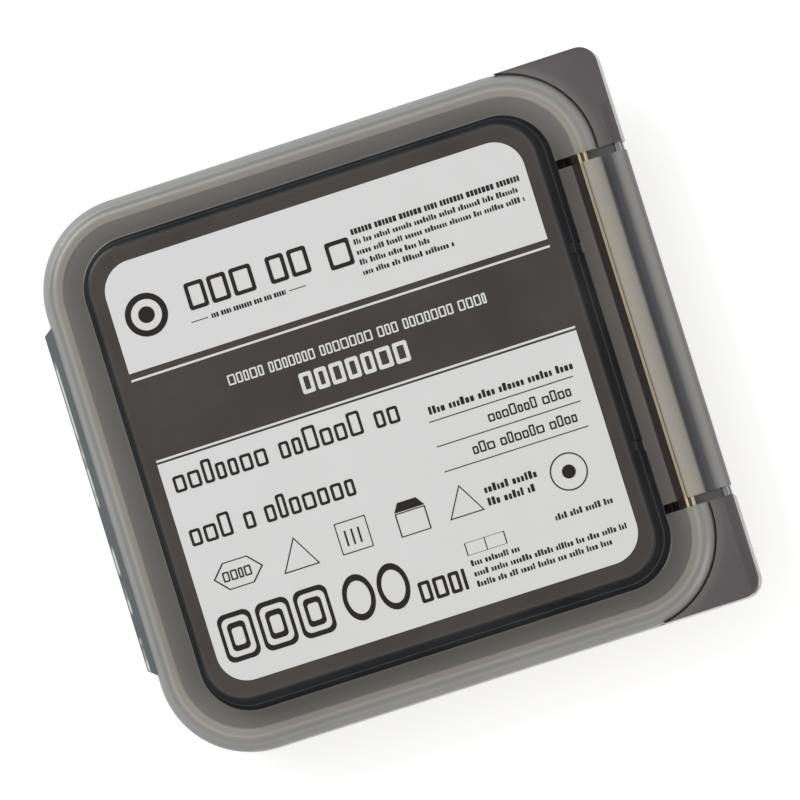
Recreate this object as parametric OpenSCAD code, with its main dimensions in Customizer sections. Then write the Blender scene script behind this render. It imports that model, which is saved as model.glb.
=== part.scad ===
// Hinged smoky plastic case that holds a set of six rotary root-canal files.
// Millimetres. +X points from the thumb tab to the hinge, +Y to the top of the
// label, +Z up. The origin is the centre of the footprint on the surface that
// the case lies on. Each file lies along Y with its tip towards -Y.

/* [Case] */
// Width along Y of the lid and of the base flange
case_w = 61.75; // [61.75:0.25:66]
// Length along X of the lid and of the base flange
case_l = 62.5; // [62.5:0.1:66]
// Corner radius of the lid and of the base flange
corner_r = 10; // [9:0.5:12]
// Height of the case over the lid panel, without the label
case_h = 13.9; // [13.9:0.1:15]
// Reach of the hinge barrel past the lid
hinge_reach = 2.8; // [2.8:0.05:3.1]
// Reach of the hinge ears past the lid
ear_reach = 2.7; // [2.7:0.05:3]
// Reach of the thumb tab past the lid
tab_reach = 0.8; // [0.7:0.05:1]
// Length of the thumb tab
tab_l = 39; // [34:1:40]

/* [Base] */
// Height of the base flange's top face, where the lid closes
flange_top = 7.5; // [7.5:0.1:7.8]
// Thickness of the base flange
flange_t = 1.2; // [1:0.1:1.5]
// Thickness of the base walls
wall_t = 1.25; // [1.1:0.05:1.3]
// Thickness of the base floor
floor_t = 1.5; // [1.2:0.1:1.5]
// Thickness of the rim that stands up inside the lid
rim_t = 0.9; // [0.7:0.05:1]
// Height of that rim over the flange
rim_h = 1.5; // [1.2:0.1:1.5]
// Distance from the flange's edge to the rim
rim_inset = 1.5; // [1.5:0.05:1.6]

/* [Lid] */
// Height of the lid's flat ring over the surface
ring_top = 9.95; // [9.95:0.05:10.2]
// Thickness of the ring's plate
ring_t = 0.8; // [0.6:0.05:0.8]
// Thickness of the skirt around the ring
skirt_t = 1.2; // [1.1:0.05:1.2]
// Width of the raised panel at its foot
panel_foot_w = 53; // [52:0.5:53]
// Width of the raised panel at its top face
panel_top_w = 51; // [50:0.5:51]
// Corner radius of the raised panel at its foot
panel_r = 5.6; // [5:0.2:6]
// Wall thickness of the raised panel
panel_t = 1; // [0.8:0.1:1.1]

/* [Hinge] */
// Length of the slot between the two hinge ears
slot_l = 39.7; // [38:0.1:40]
// Gap between the lid's hinge tongue and each end of the slot
tongue_gap = 1; // [0.6:0.1:1.2]
// Radius of the hinge barrel
barrel_r = 0.85; // [0.8:0.05:0.85]
// Radius of the steel hinge pin
pin_r = 0.4; // [0.35:0.05:0.4]
// Length of the steel hinge pin
pin_l = 48; // [44:1:52]

/* [Label] */
// Width of the printed film on the lid
label_w = 47.4; // [44:0.1:48]
// Height of the printed film on the lid
label_l = 47; // [44:0.1:48]
// Corner radius of the film
label_r = 3.4; // [2:0.2:4]

/* [Files] */
// Distance between neighbouring files
file_pitch = 7.6; // [7:0.1:7.8]
// Height of the files' axes over the surface
file_z = 5.6; // [5.5:0.1:5.7]
// Radius of the latch shank
shank_r = 1.175; // [1.15:0.005:1.175]
// Length of a handle
handle_l = 13; // [12:0.5:13]
// Radius of the wire shaft between handle and flutes
shaft_r = 0.6; // [0.5:0.02:0.6]
// Radius of a silicone stopper
stopper_r = 1.9; // [1.6:0.1:1.9]
// Thickness of a silicone stopper
stopper_t = 1.5; // [1.2:0.1:1.6]

/* [Hidden] */
$fn = 48;
SMOKE = [0.42, 0.40, 0.38, 0.6];
BRASS = [0.83, 0.64, 0.29];
eps = 0.01;

// The shell's centre: the footprint also holds the hinge and the thumb tab.
shell_x = (tab_reach - hinge_reach) / 2;
shell_back = shell_x + case_l / 2;
shell_front = shell_x - case_l / 2;
ear_back = shell_back + ear_reach;
// Flat gap between the closed lid and the base flange.
part_gap = 0.1;
lid_bottom = flange_top + part_gap;
// Room between the lid and the ears that rise beside it.
ear_gap = 0.35;
ear_bottom = flange_top - 1.6;
ear_top = flange_top + 1.7;
ear_corner_r = 2;
// The hinge axis runs along Y through this point.
hinge_x = shell_back + hinge_reach - barrel_r;
hinge_z = flange_top + barrel_r;
pin_play = 0.05;
press_play = 0.01;
// The ledge under the lid's hinge tongue.
ledge_top = flange_top - 0.6;
ledge_t = 1;
ledge_edge = 0.3;
// The cavity inside the base walls.
cavity_inset = rim_inset + wall_t;
foot_inset = 0.6;
foot_h = 0.8;
// The lid's edge is bevelled on top.
edge_bevel = 0.7;
panel_foot_x = shell_x + panel_foot_w / 2;
panel_under = case_h - panel_t;
tongue_l = slot_l - 2 * tongue_gap;
tongue_bottom = flange_top + rim_h + 0.15;
ridge_w = 1.65;
bar_w = 1.5;
bar_lip = 0.6;
bar_bottom = hinge_z - 0.1;
web_t = 0.4;
tab_bottom = ear_bottom;
tab_top = flange_top + 1.6;
tab_play = 0.15;
tab_chamfer = 0.6;
// Two gussets brace the panel's hinge side.
gusset_y = 11.1;
gusset_shift = -1.0;
gusset_t = 1.2;
gusset_reach = 0.4;
gusset_drop = 0.6;
label_t = 0.1;
pad_t = 1.1;
pad_w = 46;
pad_r = 4;

// The tray and what it holds.
tray_w = 2 * (case_w / 2 - cavity_inset) - 1.7;
tray_r = 6.2;
tray_top = file_z + 0.8;
cradle_r = shank_r + 0.145;
channel_r = stopper_r + 0.4;
notch_r = 0.9;
handle_end_y = 19;
nose_y = handle_end_y - handle_l;
channel_end_y = -6.2;
pocket_y = -7;
pocket_l = 12.5;
pocket_w = 46;
pocket_floor = floor_t + 1.1;
trough_y = 13.5;
trough_l = 7;
trough_w = 46;
trough_r = 2;
foam_play = 0.2;
slit_r = 0.7;

// Working length, tip radius and number of rings of each file.
FILES = [[16, 0.15, 1], [16, 0.15, 1], [18, 0.125, 2], [18, 0.125, 2], [22, 0.1, 3], [22, 0.1, 3]];
FILE_COUNT = len(FILES);
socket_l = 3;
shaft_l = 3;
nose_l = 1.2;
nose_r = 0.85;
latch_groove_y = 1.6;
latch_groove_w = 0.8;
latch_groove_r = 0.85;
latch_flat_l = 5;
latch_flat = 0.75;
bevel = 0.15;
ring_first_y = 6.8;
ring_pitch = 1.5;
ring_w = 0.8;
ring_seat_r = 1;
ring_r = 1.2;
stopper_play = 0.06;
stopper_rest_y = nose_y - 1;

function file_x(i) = shell_x + (i - (FILE_COUNT - 1) / 2) * file_pitch;

// A rectangle with round corners around the shell's centre.
module rounded(w, l, r) {
    translate([shell_x, 0]) {
        square([w, l - 2 * r], center = true);
        square([w - 2 * r, l], center = true);
        for (sx = [-1, 1], sy = [-1, 1])
            translate([sx * (w / 2 - r), sy * (l / 2 - r)])
                circle(r);
    }
}

module slab(w, r, z0, z1) {
    translate([0, 0, z0])
        linear_extrude(z1 - z0)
            rounded(w, w, r);
}

module inset_slab(inset, z0, z1) {
    translate([0, 0, z0])
        linear_extrude(z1 - z0)
            rounded(case_l - 2 * inset, case_w - 2 * inset, corner_r - inset);
}

// A cylinder along +Y from y0.
module rod(r, y0, y1) {
    translate([0, y0, 0])
        rotate([-90, 0, 0])
            cylinder(r = r, h = y1 - y0);
}

// The corner area of the base behind the lid, with a small outer corner.
module ear_outline() {
    x0 = shell_back - corner_r - 4;
    for (s = [-1, 1])
        scale([1, s])
            difference() {
                translate([x0, slot_l / 2])
                    square([ear_back - x0, (case_w - slot_l) / 2]);
                translate([ear_back - ear_corner_r, case_w / 2 - ear_corner_r])
                    difference() {
                        square(ear_corner_r + 1);
                        circle(ear_corner_r);
                    }
            }
}

module base_body() {
    inset_slab(rim_inset + foot_inset, 0, foot_h + eps);
    inset_slab(rim_inset, foot_h, flange_top);
    inset_slab(0, flange_top - flange_t, flange_top);
    inset_slab(rim_inset, flange_top - eps, flange_top + rim_h);
    translate([0, 0, ear_bottom])
        linear_extrude(flange_top - ear_bottom)
            ear_outline();
    translate([0, 0, flange_top - eps])
        linear_extrude(ear_top - flange_top + eps)
            difference() {
                ear_outline();
                rounded(case_l + 2 * ear_gap, case_w + 2 * ear_gap, corner_r + ear_gap);
            }
}

// Steps the flange down to a ledge under the hinge tongue.
module hinge_ledge_cut() {
    x0 = shell_back - rim_inset;
    translate([x0, -slot_l / 2, ledge_top])
        cube([ear_back - x0 + 1, slot_l, ear_top]);
}

module base_shell() {
    x0 = shell_back - rim_inset - eps;
    color(SMOKE)
        difference() {
            union() {
                base_body();
                translate([x0, -slot_l / 2 - eps, ledge_top - ledge_t])
                    cube([ear_back - ledge_edge - x0, slot_l + 2 * eps, ledge_t]);
            }
            inset_slab(cavity_inset, floor_t, flange_top);
            inset_slab(rim_inset + rim_t, flange_top - eps, flange_top + rim_h + 1);
            hinge_ledge_cut();
            translate([hinge_x, 0, hinge_z])
                rod(pin_r + pin_play, -case_w, pin_l / 2 + 0.3);
        }
}

// The hinge tongue: two bars, thin webs and the barrel at its free edge.
module tongue() {
    x0 = panel_foot_x - panel_t / 2;
    x_ridge = panel_foot_x + ridge_w;
    x_bar = shell_back - rim_inset + 0.1;
    x_bar_end = x_bar + bar_w;
    translate([0, -tongue_l / 2, 0]) {
        translate([x0, 0, tongue_bottom])
            cube([x_ridge - x0, tongue_l, ring_top - tongue_bottom]);
        translate([x0, 0, tongue_bottom])
            cube([x_bar - x0 + eps, tongue_l, web_t]);
        translate([x_bar, 0, bar_bottom])
            cube([bar_w, tongue_l, ring_top - bar_bottom]);
        translate([x_bar - bar_lip, 0, tongue_bottom])
            cube([bar_lip + eps, tongue_l, ring_top - tongue_bottom]);
        translate([x_bar_end - eps, 0, bar_bottom])
            cube([hinge_x - x_bar_end, tongue_l, web_t]);
        translate([hinge_x, 0, hinge_z])
            rod(barrel_r, 0, tongue_l);
    }
}

module gussets() {
    x_head = shell_x + panel_top_w / 2;
    z0 = ring_top - eps;
    z1 = case_h - gusset_drop;
    for (s = [-1, 1])
        translate([0, s * gusset_y + gusset_shift + gusset_t / 2, 0])
            rotate([90, 0, 0])
                linear_extrude(gusset_t)
                    polygon([
                        [x_head - panel_t / 2, z0],
                        [panel_foot_x + gusset_reach, z0],
                        [x_head + gusset_reach, z1],
                        [x_head - panel_t / 2, z1]
                    ]);
}

module thumb_tab() {
    x0 = shell_front - tab_reach;
    translate([0, 0, tab_bottom])
        linear_extrude(lid_bottom - tab_bottom + eps)
            polygon([
                [x0, -tab_l / 2 + tab_chamfer],
                [shell_front - tab_play, -tab_l / 2],
                [shell_front - tab_play, tab_l / 2],
                [x0, tab_l / 2 - tab_chamfer]
            ]);
    translate([0, 0, lid_bottom])
        linear_extrude(tab_top - lid_bottom)
            polygon([
                [x0, -tab_l / 2 + tab_chamfer],
                [shell_front + edge_bevel, -tab_l / 2 - tab_chamfer],
                [shell_front + edge_bevel, tab_l / 2 + tab_chamfer],
                [x0, tab_l / 2 - tab_chamfer]
            ]);
}

module lid_outside() {
    bevel_z = ring_top - edge_bevel;
    inset_slab(0, lid_bottom, bevel_z);
    hull($fn = 32) {
        inset_slab(0, bevel_z - eps, bevel_z);
        inset_slab(edge_bevel, ring_top - eps, ring_top);
    }
    hull($fn = 32) {
        slab(panel_foot_w, panel_r, ring_top - eps, ring_top);
        slab(panel_top_w, panel_r - 1, case_h - eps, case_h);
    }
}

module lid_inside() {
    inset_slab(skirt_t, lid_bottom - 1, ring_top - ring_t);
    hull($fn = 32) {
        slab(panel_foot_w - 2 * panel_t, panel_r - panel_t, ring_top - ring_t - eps, ring_top);
        slab(panel_top_w - 2 * panel_t, panel_r - 1 - panel_t, panel_under - eps, panel_under);
    }
}

module lid_shell() {
    color(SMOKE)
        difference() {
            union() {
                difference() {
                    union() {
                        lid_outside();
                        thumb_tab();
                    }
                    lid_inside();
                    translate([panel_foot_x, -slot_l / 2, 0])
                        cube([case_w, slot_l, ring_top + eps]);
                }
                tongue();
                gussets();
            }
            translate([hinge_x, 0, hinge_z])
                rod(pin_r + press_play, -slot_l, slot_l);
        }
}

module hinge_pin() {
    color("silver")
        translate([hinge_x, 0, hinge_z])
            rod(pin_r, -pin_l / 2, pin_l / 2);
}

module label_film() {
    color("white")
        translate([0, 0, case_h])
            linear_extrude(label_t)
                rounded(label_w, label_l, label_r);
}

module lid_foam() {
    color([0.12, 0.11, 0.10])
        slab(pad_w, pad_r, panel_under - pad_t, panel_under);
}

// Everything that one file takes out of the tray.
module file_channel() {
    rod(cradle_r, nose_y - 1, trough_y + 1);
    translate([-cradle_r, nose_y - 1, 0])
        cube([2 * cradle_r, trough_y - nose_y + 2, tray_top]);
    rod(channel_r, channel_end_y, nose_y);
    rod(notch_r, pocket_y - 1, channel_end_y + 1);
    translate([-notch_r, pocket_y - 1, 0])
        cube([2 * notch_r, channel_end_y - pocket_y + 2, tray_top]);
}

module file_tray() {
    color([0.13, 0.13, 0.14])
        difference() {
            slab(tray_w, tray_r, floor_t, tray_top);
            for (i = [0 : FILE_COUNT - 1])
                translate([file_x(i), 0, file_z])
                    file_channel();
            translate([shell_x - pocket_w / 2, pocket_y - pocket_l, pocket_floor])
                cube([pocket_w, pocket_l, tray_top]);
            translate([shell_x - trough_w / 2, trough_y, pocket_floor])
                cube([trough_w, trough_l, tray_top]);
        }
}

// The foam strip that the tips lie in, with one slit for each file.
module tray_foam() {
    color([0.20, 0.20, 0.21])
        difference() {
            translate([shell_x - pocket_w / 2 + foam_play, pocket_y - pocket_l + foam_play, pocket_floor])
                cube([pocket_w - 2 * foam_play, pocket_l - 2 * foam_play, tray_top - pocket_floor]);
            for (i = [0 : FILE_COUNT - 1])
                translate([file_x(i), 0, file_z]) {
                    rod(slit_r, pocket_y - pocket_l - 1, pocket_y + 1);
                    translate([-slit_r, pocket_y - pocket_l - 1, 0])
                        cube([2 * slit_r, pocket_l + 2, tray_top]);
                }
        }
}

// Turns a profile of [radius, distance from the handle's end] about a file's axis.
module turned(i, points) {
    translate([file_x(i), handle_end_y, file_z])
        rotate([90, 0, 0])
            rotate_extrude()
                polygon(points);
}

function ring_start(k) = ring_first_y + k * ring_pitch;

module handle(i) {
    rings = FILES[i][2];
    seats = [
        for (k = [0 : rings - 1])
            each [
                [shank_r, ring_start(k)],
                [ring_seat_r, ring_start(k)],
                [ring_seat_r, ring_start(k) + ring_w],
                [shank_r, ring_start(k) + ring_w]
            ]
    ];
    latch = [
        [0, 0],
        [shank_r - bevel, 0],
        [shank_r, bevel],
        [shank_r, latch_groove_y],
        [latch_groove_r, latch_groove_y],
        [latch_groove_r, latch_groove_y + latch_groove_w],
        [shank_r, latch_groove_y + latch_groove_w]
    ];
    nose = [
        [shank_r, handle_l - nose_l],
        [nose_r, handle_l],
        [shaft_r + press_play, handle_l],
        [shaft_r + press_play, handle_l - socket_l],
        [0, handle_l - socket_l]
    ];
    color(BRASS)
        difference() {
            turned(i, concat(latch, seats, nose));
            translate([file_x(i) - shank_r, handle_end_y - latch_flat_l, file_z + latch_flat])
                cube([2 * shank_r, latch_flat_l + 1, shank_r]);
        }
}

module blade(i) {
    tip_y = handle_l + FILES[i][0];
    color([0.75, 0.75, 0.77])
        turned(i, [
            [0, handle_l - socket_l],
            [shaft_r, handle_l - socket_l],
            [shaft_r, handle_l + shaft_l],
            [FILES[i][1] + 0.02, tip_y - 0.4],
            [0, tip_y]
        ]);
}

module rings(i) {
    color("white")
        for (k = [0 : FILES[i][2] - 1])
            turned(i, [
                [ring_seat_r + press_play, ring_start(k) + press_play],
                [ring_r, ring_start(k) + press_play],
                [ring_r, ring_start(k) + ring_w - press_play],
                [ring_seat_r + press_play, ring_start(k) + ring_w - press_play]
            ]);
}

module stopper(i) {
    y0 = handle_end_y - stopper_rest_y;
    color([0.15, 0.35, 0.7])
        difference() {
            turned(i, [
                [shaft_r + stopper_play, y0],
                [stopper_r - bevel, y0],
                [stopper_r, y0 + bevel],
                [stopper_r, y0 + stopper_t - bevel],
                [stopper_r - bevel, y0 + stopper_t],
                [shaft_r + stopper_play, y0 + stopper_t]
            ]);
            translate([file_x(i), stopper_rest_y - stopper_t - 1, file_z + stopper_r])
                rod(0.35, 0, stopper_t + 2);
        }
}

base_shell();
lid_shell();
hinge_pin();
label_film();
lid_foam();
file_tray();
tray_foam();
for (i = [0 : FILE_COUNT - 1]) {
    handle(i);
    blade(i);
    rings(i);
    stopper(i);
}
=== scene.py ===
"""Looks for the hinged smoky case with its set of rotary root-canal files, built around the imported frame."""
import math
import random

import bmesh
import bpy
from mathutils import Matrix, Vector


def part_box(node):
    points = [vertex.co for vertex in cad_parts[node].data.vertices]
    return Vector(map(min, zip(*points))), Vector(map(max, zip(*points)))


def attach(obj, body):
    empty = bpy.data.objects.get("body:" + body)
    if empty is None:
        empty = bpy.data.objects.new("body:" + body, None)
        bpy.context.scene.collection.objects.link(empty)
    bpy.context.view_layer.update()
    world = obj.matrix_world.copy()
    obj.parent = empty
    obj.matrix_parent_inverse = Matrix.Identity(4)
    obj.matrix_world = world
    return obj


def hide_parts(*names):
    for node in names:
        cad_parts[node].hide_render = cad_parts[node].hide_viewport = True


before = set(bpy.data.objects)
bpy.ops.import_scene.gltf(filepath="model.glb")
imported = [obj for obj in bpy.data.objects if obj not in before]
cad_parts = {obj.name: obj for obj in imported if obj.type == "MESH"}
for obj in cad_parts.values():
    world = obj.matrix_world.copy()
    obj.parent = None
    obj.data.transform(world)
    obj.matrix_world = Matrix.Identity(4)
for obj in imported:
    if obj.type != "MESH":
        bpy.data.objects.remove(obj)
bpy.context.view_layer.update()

MM = 0.001
random.seed(7)

# ---------------------------------------------------------------- sizes, in millimetres


def box_mm(node):
    """A CAD node's lowest and highest corners."""
    low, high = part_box(node)
    return low / MM, high / MM


LID_LOW, LID_HIGH = box_mm("lid_shell")
BASE_HIGH = box_mm("base_shell")[1]
PIN_LOW, PIN_HIGH = box_mm("hinge_pin")
LABEL_LOW, LABEL_HIGH = box_mm("label_film")
TRAY_LOW, TRAY_HIGH = box_mm("file_tray")
LID_FOAM_LOW, LID_FOAM_HIGH = box_mm("lid_foam")
TRAY_FOAM_LOW, TRAY_FOAM_HIGH = box_mm("tray_foam")

# The two shells: half their width, and how much longer each half is along X.
SHELL_X = (LABEL_LOW.x + LABEL_HIGH.x) / 2
HALF = LID_HIGH.y
LONGER = 0.375
SHELL_FROM = 27.5
LID_BACK = SHELL_X + HALF + LONGER
LID_FRONT = SHELL_X - HALF - LONGER
CORNER_R = 10.0
CORNER_STEPS = 20

# Heights.
PANEL_TOP = LID_HIGH.z
RING_TOP = 9.95
RING_UNDER = 9.15
RIM_TOP = 9.0
LID_BOTTOM = 7.6
FLANGE_TOP = 7.5
LEDGE_TOP = 6.9
FLANGE_BOTTOM = 6.3
EAR_TOP = BASE_HIGH.z
EAR_BOTTOM = 5.9

# The base's upright rim, the lid's skirt and the raised panel.
RIM_OUT = HALF - 1.5
RIM_IN = RIM_OUT - 0.9
RIM_BACK = SHELL_X + RIM_OUT + LONGER
SKIRT = 1.2
PANEL_FOOT = 26.5
PANEL_HEAD = 25.5
PANEL_R = 5.6
HEAD_R = 4.6
LID_WALL = 1.0
FOOT_BACK = SHELL_X + PANEL_FOOT
HEAD_BACK = SHELL_X + PANEL_HEAD
GUSSET_Y = 11.1
GUSSET_SHIFT = -1.0
GUSSET_T = 1.2

# The hinge: slot, tongue, barrel and ears.
SLOT_HALF = 19.85
TONGUE_HALF = 18.85
RIDGE_END = FOOT_BACK + 1.65
BAR_START = RIM_BACK + 0.1
BAR_LIP_AT = BAR_START - 0.6
BAR_END = BAR_START + 1.5
WEB_T = 0.4
HINGE_X = (PIN_LOW.x + PIN_HIGH.x) / 2
HINGE_Z = (PIN_LOW.z + PIN_HIGH.z) / 2
BARREL_R = 0.85
PIN_BORE_R = 0.45
EAR_GAP = 0.11
EAR_CORNER = 2.0


# ---------------------------------------------------------------- mesh helpers

# Edges that bend by fewer degrees than this are shaded smooth.
SMOOTH = 32


def shade(bm, smooth_angle):
    """Shades faces smooth and keeps edges sharper than the angle crisp."""
    limit = math.radians(smooth_angle)
    for face in bm.faces:
        face.smooth = True
    for edge in bm.edges:
        edge.smooth = len(edge.link_faces) == 2 and edge.calc_face_angle(0) < limit


def new_object(name, bm, smooth_angle=SMOOTH):
    """Makes an object from a bmesh given in millimetres."""
    bmesh.ops.recalc_face_normals(bm, faces=bm.faces)
    shade(bm, smooth_angle)
    bmesh.ops.scale(bm, vec=(MM, MM, MM), verts=bm.verts)
    mesh = bpy.data.meshes.new(name)
    bm.to_mesh(mesh)
    bm.free()
    obj = bpy.data.objects.new(name, mesh)
    bpy.context.scene.collection.objects.link(obj)
    return obj


def apply_modifiers(obj):
    """Puts the result of an object's modifiers in its mesh."""
    graph = bpy.context.evaluated_depsgraph_get()
    mesh = bpy.data.meshes.new_from_object(obj.evaluated_get(graph))
    obj.modifiers.clear()
    obj.data = mesh
    return mesh


def bake_modifiers(obj):
    """Applies an object's modifiers and sorts out its crisp edges again."""
    mesh = apply_modifiers(obj)
    bm = bmesh.new()
    bm.from_mesh(mesh)
    shade(bm, SMOOTH)
    bm.to_mesh(mesh)
    bm.free()
    return obj


def flatten_shading(obj):
    """Weighs the vertex normals by face area, so that broad faces look flat beside their rounded edges."""
    mod = obj.modifiers.new("weigh", "WEIGHTED_NORMAL")
    mod.keep_sharp = True
    mod.weight = 100
    apply_modifiers(obj)


def combine(obj, others, operation):
    """Unites obj with the others, or cuts them out of it, and deletes them."""
    for other in others:
        mod = obj.modifiers.new("cut", "BOOLEAN")
        mod.operation = operation
        mod.solver = "EXACT"
        mod.object = other
    bake_modifiers(obj)
    for other in others:
        bpy.data.objects.remove(other)
    return obj


def bevelled(obj, width, segments=2, angle=40):
    """Rounds an object's crisp edges by width millimetres."""
    mod = obj.modifiers.new("round", "BEVEL")
    mod.width = width * MM
    mod.segments = segments
    mod.limit_method = "ANGLE"
    mod.angle_limit = math.radians(angle)
    mod.use_clamp_overlap = True
    return bake_modifiers(obj)


def soften(points, steps=4, closed=False):
    """Rounds the corners of a path. Each point is (its coordinates, the length that its rounding takes)."""
    places = [Vector(p) for p, _ in points]
    out = []
    count = len(points)
    for i, (_, cut) in enumerate(points):
        here = places[i]
        if cut <= 0 or (not closed and i in (0, count - 1)):
            out.append(here)
            continue
        back, ahead = places[i - 1] - here, places[(i + 1) % count] - here
        a = here + back.normalized() * min(cut, 0.49 * back.length)
        b = here + ahead.normalized() * min(cut, 0.49 * ahead.length)
        for k in range(steps + 1):
            t = k / steps
            out.append(a * (1 - t) ** 2 + here * 2 * t * (1 - t) + b * t ** 2)
    return out


def arc(x, y, r, start, sweep, steps):
    """Points along a circle, from the angle start onwards."""
    angles = [start + k / steps * sweep for k in range(steps + 1)]
    return [(x + r * math.cos(a), y + r * math.sin(a)) for a in angles]


def circle_y(x, z, r, y, sides):
    """One loop of points around an axis that is parallel to Y."""
    angles = [2 * math.pi * k / sides for k in range(sides)]
    return [(x + r * math.cos(a), y, z + r * math.sin(a)) for a in angles]


def rounded_square(half, corner, z, longer=0.0):
    """One loop of points around a square with round corners, drawn out along X by longer at both ends."""
    loop = []
    for quarter in range(4):
        turn = quarter * math.pi / 2
        mid = Vector((half - corner, half - corner)).length
        away = turn + math.pi / 4
        cx = SHELL_X + mid * math.cos(away) + math.copysign(longer, math.cos(away))
        cy = mid * math.sin(away)
        loop += [(x, y, z) for x, y in arc(cx, cy, corner, turn, math.pi / 2, CORNER_STEPS)]
    return loop


def outside_by(point, half, corner, longer=0.0):
    """How far a point lies outside a round-cornered square around the shell's centre."""
    over = (abs(point.x - SHELL_X) - longer - half + corner, abs(point.y) - half + corner)
    return math.hypot(max(over[0], 0), max(over[1], 0)) + min(max(over), 0) - corner


def skin(bm, loops, cap_ends=True, closed=False):
    """Joins loops of equal length by quads."""
    rows = [[bm.verts.new(p) for p in loop] for loop in loops]
    count = len(rows[0])
    pairs = list(zip(rows, rows[1:]))
    if closed:
        pairs.append((rows[-1], rows[0]))
    for low, high in pairs:
        for k in range(count):
            bm.faces.new((low[k], low[(k + 1) % count], high[(k + 1) % count], high[k]))
    if cap_ends and not closed:
        bm.faces.new(rows[0])
        bm.faces.new(list(reversed(rows[-1])))
    return rows


def square_loft(name, profile, steps=4):
    """A shell of round-cornered squares. Each profile point is (half width, corner radius, height, rounding).

    Squares wider than SHELL_FROM belong to the shells' outer walls, which are longer along X than along Y.
    """
    path = soften([((half, corner, z), cut) for half, corner, z, cut in profile], steps)
    bm = bmesh.new()
    skin(bm, [rounded_square(p[0], p[1], p[2], LONGER if p[0] > SHELL_FROM else 0) for p in path])
    return new_object(name, bm)


def block(name, low, high):
    """A box between two corners."""
    bm = bmesh.new()
    bmesh.ops.create_cube(bm, size=1)
    for v in bm.verts:
        v.co = Vector(high[i] if v.co[i] > 0 else low[i] for i in range(3))
    return new_object(name, bm)


def extruded(name, outline, axis, low, high):
    """A flat outline pushed along an axis. The outline holds the other two coordinates in X, Y, Z order."""
    bm = bmesh.new()

    def place(p, at):
        values = list(p)
        values.insert(axis, at)
        return values

    skin(bm, [[place(p, low) for p in outline], [place(p, high) for p in outline]])
    return new_object(name, bm)


def turned(name, profile, x, z, sides=40, steps=3, shape=None, closed=False):
    """A turned piece along Y. Each profile point is (radius, y, rounding); shape may move each point."""
    path = soften([((r, y), cut) for r, y, cut in profile], steps, closed)
    bm = bmesh.new()
    loops = []
    for r, y in path:
        loop = []
        for k in range(sides):
            angle = 2 * math.pi * k / sides
            px, pz = r * math.cos(angle), r * math.sin(angle)
            if shape:
                px, pz = shape(px, pz, y)
            loop.append((x + px, y, z + pz))
        loops.append(loop)
    skin(bm, loops, closed=closed)
    return new_object(name, bm)


def cylinder_y(name, r, x, z, low, high):
    """A plain cylinder along Y."""
    return turned(name, [(r, low, 0), (r, high, 0)], x, z, 32)


# ---------------------------------------------------------------- material helpers


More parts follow.
